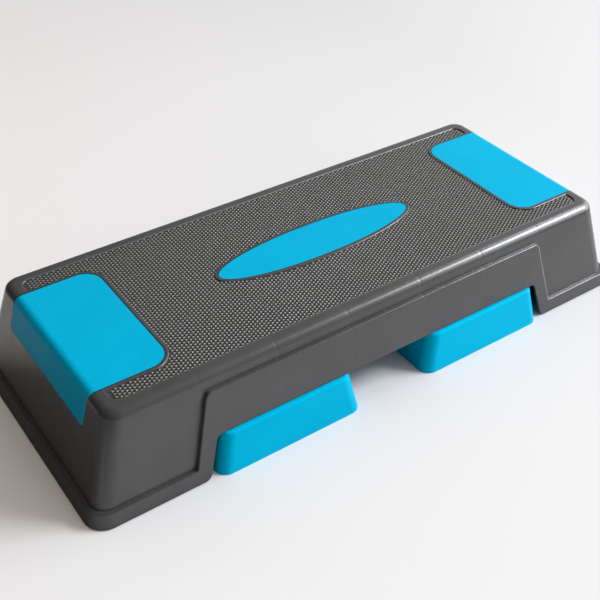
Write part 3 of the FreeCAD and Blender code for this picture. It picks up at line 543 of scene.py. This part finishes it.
# the poses hold the platform still, so the floor sinks under a leg's soles as the leg folds out:
# half a turn about its pin carries the leg's body along by twice the pin's place,
# and brings its soles below the rim
pin = np.array(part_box("right_front_hinge_pin")).mean(axis=0)
soleDrop = 2 * pin[2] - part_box("right_inner_front_sole_foot")[1][2]
for legName, slide in (("left_leg", -2 * pin[0]), ("right_leg", 2 * pin[0])):
    sink = floor.constraints.new("TRANSFORM")
    sink.target = bpy.data.objects["body:" + legName]
    sink.map_from, sink.map_to = "LOCATION", "LOCATION"
    sink.map_to_z_from = "X"
    sink.from_min_x, sink.from_max_x = min(slide, 0.0), max(slide, 0.0)
    sink.to_min_z, sink.to_max_z = (soleDrop, 0.0) if slide < 0 else (0.0, soleDrop)
lowest = floor.constraints.new("LIMIT_LOCATION")
lowest.use_min_z = True
lowest.min_z = soleDrop
print("floor under the soles by", soleDrop)

# Light

# directions point from the object to the light; a pane's inner and outer limits are cosines
lightSet = {"distance": 3600.0, "colour": (0.96, 1.0, 1.05),
            "lamps": ({"name": "window key", "towards": (0.704, -0.328, 0.629), "size": (1370.0, 910.0),
                       "level": 0.57},
                      {"name": "window strip", "towards": (0.711, 0.062, 0.70), "size": (1130.0, 510.0),
                       "level": 0.09}),
            "dim": (0.014, 0.012, 0.010), "soft": (0.48, 0.42, 0.77), "softPower": 2.0,
            "softColour": (0.98, 0.84, 0.71),
            "front": (0.36, -0.88, 0.31), "frontPower": 3.0, "frontLevel": 0.95,
            "roomLeft": 0.2, "roomRight": 0.8, "roomDark": 0.02, "roomPale": 1.0,
            "panes": ({"towards": (0.958, -0.05, 0.282), "inner": 0.966, "outer": 0.866, "level": 3.3},
                      {"towards": (0.78, -0.52, 0.35), "inner": 0.995, "outer": 0.95, "level": 6.5})}


def facing(back, roll=0.0):
    # axes right, up and back of something that looks along minus back, turned by roll about its view
    right = np.cross([0.0, 0.0, 1.0], back)
    right = right / np.linalg.norm(right)
    up = np.cross(back, right)
    c, s = np.cos(roll), np.sin(roll)
    return np.stack([c * right + s * up, c * up - s * right, back], -1)


def placed(obj, axes, spot):
    # turns a lamp or camera to the axes and puts it at the spot
    matrix = np.eye(4)
    matrix[:3, :3] = axes
    matrix[:3, 3] = spot
    obj.matrix_world = Matrix(matrix.tolist())


def windowLight(name, towards, size, level):
    # rectangle of light that faces the object from far away in the given direction
    towards = np.array(towards) / np.linalg.norm(towards)
    distance = lightSet["distance"] * mm
    lamp = bpy.data.lights.new(name, "AREA")
    lamp.shape = "RECTANGLE"
    lamp.size, lamp.size_y = np.array(size) * mm
    lamp.color = lightSet["colour"]
    # a lamp of P watts at distance D lights a flat surface to P z / (pi D)^2 of its own colour
    lamp.energy = level * (np.pi * distance) ** 2 / towards[2]
    light = bpy.data.objects.new(name, lamp)
    bpy.context.collection.objects.link(light)
    placed(light, facing(towards), towards * distance)


for lampSet in lightSet["lamps"]:
    windowLight(**lampSet)

world = bpy.data.worlds.new("studio")
bpy.context.scene.world = world
world.use_nodes = True
tree = world.node_tree
tree.nodes.clear()
ray = addNode(tree, "ShaderNodeLightPath")
direction = addNode(tree, "ShaderNodeTexCoord").outputs["Generated"]
axis = addNode(tree, "ShaderNodeSeparateXYZ", links={0: direction})
# soft light falls from above, behind and the right, as a power of the cosine to its middle direction
over = addNode(tree, "ShaderNodeVectorMath", {"operation": "DOT_PRODUCT", 1: lightSet["soft"]},
               {0: direction})
above = addNode(tree, "ShaderNodeMath", {"operation": "MAXIMUM", 1: 0.0}, {0: over.outputs["Value"]})
lobe = addNode(tree, "ShaderNodeMath", {"operation": "POWER", 1: lightSet["softPower"]},
               {0: above.outputs[0]})
ambient = addNode(tree, "ShaderNodeMix",
                  {"data_type": "RGBA", 6: (*lightSet["dim"], 1.0), 7: (*lightSet["softColour"], 1.0)},
                  {0: lobe.outputs[0]})
# a wall in front gives back some light, as a narrower power of the cosine to its middle direction
ahead = addNode(tree, "ShaderNodeVectorMath", {"operation": "DOT_PRODUCT", 1: lightSet["front"]},
                {0: direction})
wall = addNode(tree, "ShaderNodeMath", {"operation": "MAXIMUM", 1: 0.0}, {0: ahead.outputs["Value"]})
wallLobe = addNode(tree, "ShaderNodeMath", {"operation": "POWER", 1: lightSet["frontPower"]},
                   {0: wall.outputs[0]})
wallLight = addNode(tree, "ShaderNodeMath", {"operation": "MULTIPLY", 1: lightSet["frontLevel"]},
                    {0: wallLobe.outputs[0]})
ambient = addNode(tree, "ShaderNodeMix", {"data_type": "RGBA", "blend_type": "ADD", 0: 1.0},
                  {6: ambient.outputs[2], 7: wallLight.outputs[0]})
# gloss sees a room that is dark to the left and grows pale towards the windows on the right
room = addNode(tree, "ShaderNodeMapRange",
               {1: lightSet["roomLeft"], 2: lightSet["roomRight"],
                3: lightSet["roomDark"], 4: lightSet["roomPale"]}, {0: axis.outputs["X"]})
# with low windows there, each full within its inner limit and gone past its outer one
gleam = room.outputs[0]
for pane in lightSet["panes"]:
    towards = addNode(tree, "ShaderNodeVectorMath", {"operation": "DOT_PRODUCT", 1: pane["towards"]},
                      {0: direction})
    bright = addNode(tree, "ShaderNodeMapRange",
                     {"interpolation_type": "SMOOTHSTEP", 1: pane["outer"], 2: pane["inner"],
                      3: 0.0, 4: pane["level"]}, {0: towards.outputs["Value"]})
    gleam = addNode(tree, "ShaderNodeMath", {"operation": "ADD"},
                    {0: gleam, 1: bright.outputs[0]}).outputs[0]
glossy = addNode(tree, "ShaderNodeMix", {"data_type": "RGBA"},
                 {0: ray.outputs["Is Glossy Ray"], 6: ambient.outputs[2], 7: gleam})
backdrop = [floorSet["backdrop"]] * 3 + [1.0]
seen = addNode(tree, "ShaderNodeMix", {"data_type": "RGBA", 7: backdrop},
               {0: ray.outputs["Is Camera Ray"], 6: glossy.outputs[2]})
sky = addNode(tree, "ShaderNodeBackground", links={"Color": seen.outputs[2]})
addNode(tree, "ShaderNodeOutputWorld", links={"Surface": sky.outputs[0]})

# Camera

# the view of the photograph: azimuth from the near long side, elevation and roll in degrees
viewSet = {"azimuth": -36.144, "elevation": 38.582, "roll": 1.6, "distance": 1114.1,
           "across": 15.7, "above": -20.8, "lens": 59.07, "sensor": 36.0, "clipStart": 10.0}
azimuth, elevation = np.radians([viewSet["azimuth"], viewSet["elevation"]])
outwards = np.cos(elevation)
back = np.array([np.sin(azimuth) * outwards, -np.cos(azimuth) * outwards, np.sin(elevation)])
axes = facing(back, np.radians(viewSet["roll"]))
spot = axes @ np.array([-viewSet["across"], -viewSet["above"], viewSet["distance"]]) * mm
cameraData = bpy.data.cameras.new("photo view")
cameraData.sensor_width = viewSet["sensor"]
cameraData.lens = viewSet["lens"]
cameraData.clip_start = viewSet["clipStart"] * mm
camera = bpy.data.objects.new("photo view", cameraData)
bpy.context.collection.objects.link(camera)
placed(camera, axes, spot)
bpy.context.scene.camera = camera
bpy.context.scene.view_settings.view_transform = "Standard"
print("floor, light and camera set")
